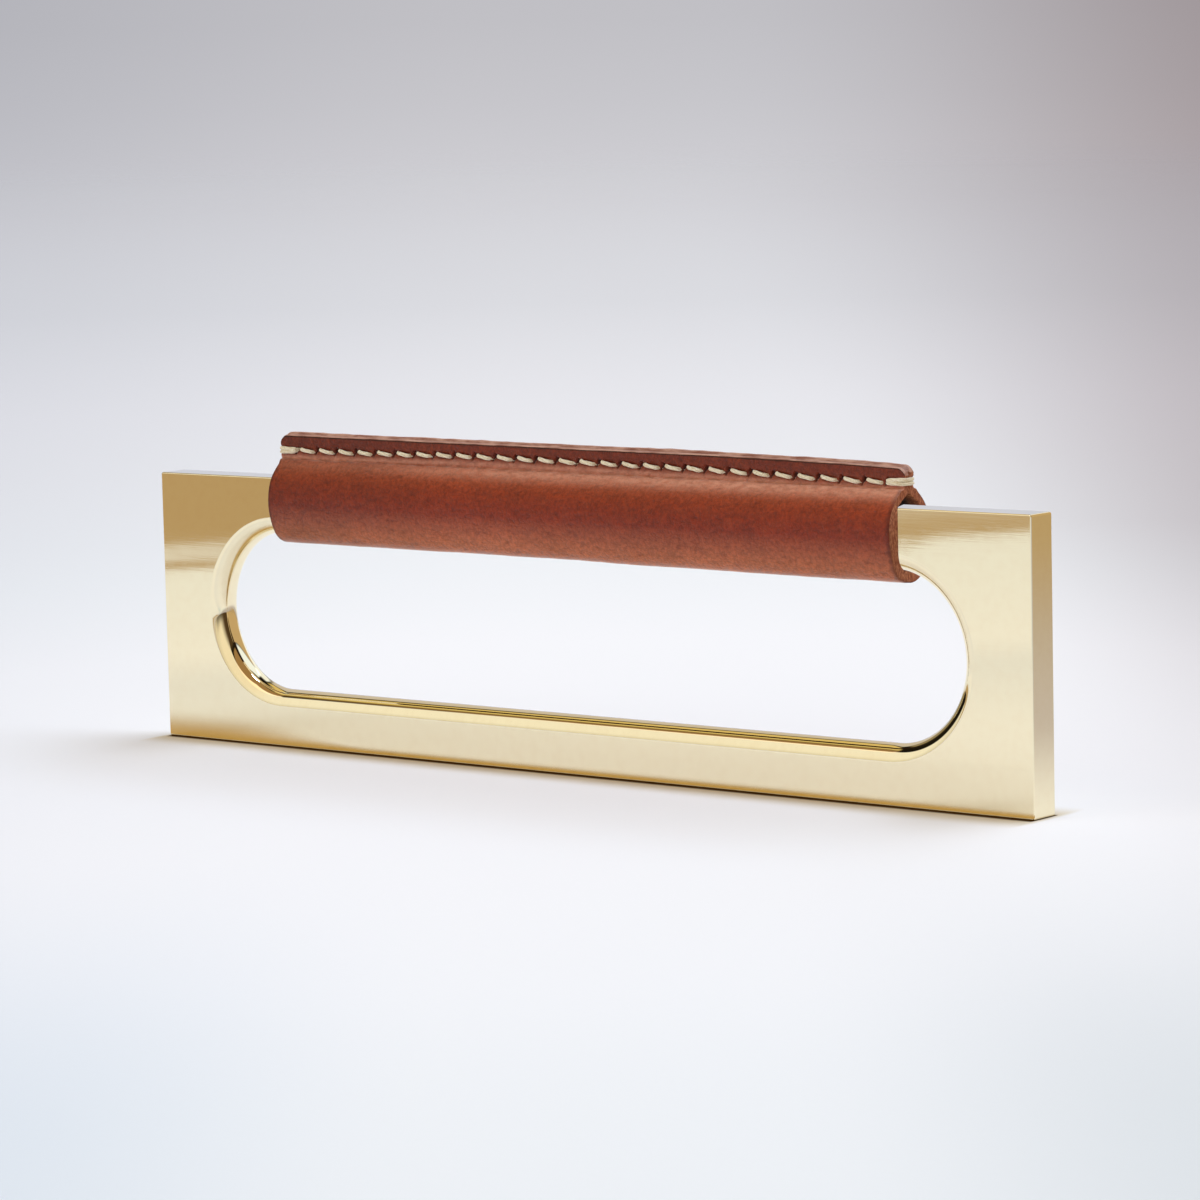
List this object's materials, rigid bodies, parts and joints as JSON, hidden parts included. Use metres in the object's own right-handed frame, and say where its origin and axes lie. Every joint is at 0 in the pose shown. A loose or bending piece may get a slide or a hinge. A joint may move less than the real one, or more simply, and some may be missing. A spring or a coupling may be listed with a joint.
{
  "type": "leather-wrapped brass pull",
  "caption": "Slim brass frame pull with a long finger opening; its upper rail is wrapped in saddle-stitched leather. Opens a drawer or door that it is screwed to by its foot.",
  "frame": {"origin": "Middle of the foot, the long narrow edge of the brass frame that is screwed to the door or drawer front.", "axes": "+X runs along the pull, the face seen in the picture looks towards -Y, and +Z points from the foot to the leather grip."},
  "size_m": [0.16, 0.0094, 0.0472],
  "materials": {
    "brass": "satin, smooth milled and hand polished",
    "leather": "smooth red-brown cowhide with a fine grain",
    "thread": "cream waxed linen thread"
  },
  "bodies": {
    "root": {"brass_frame": "brass", "leather_grip": "leather", "thread_half_1": "thread", "thread_half_2": "thread"}
  },
  "joints": []
}
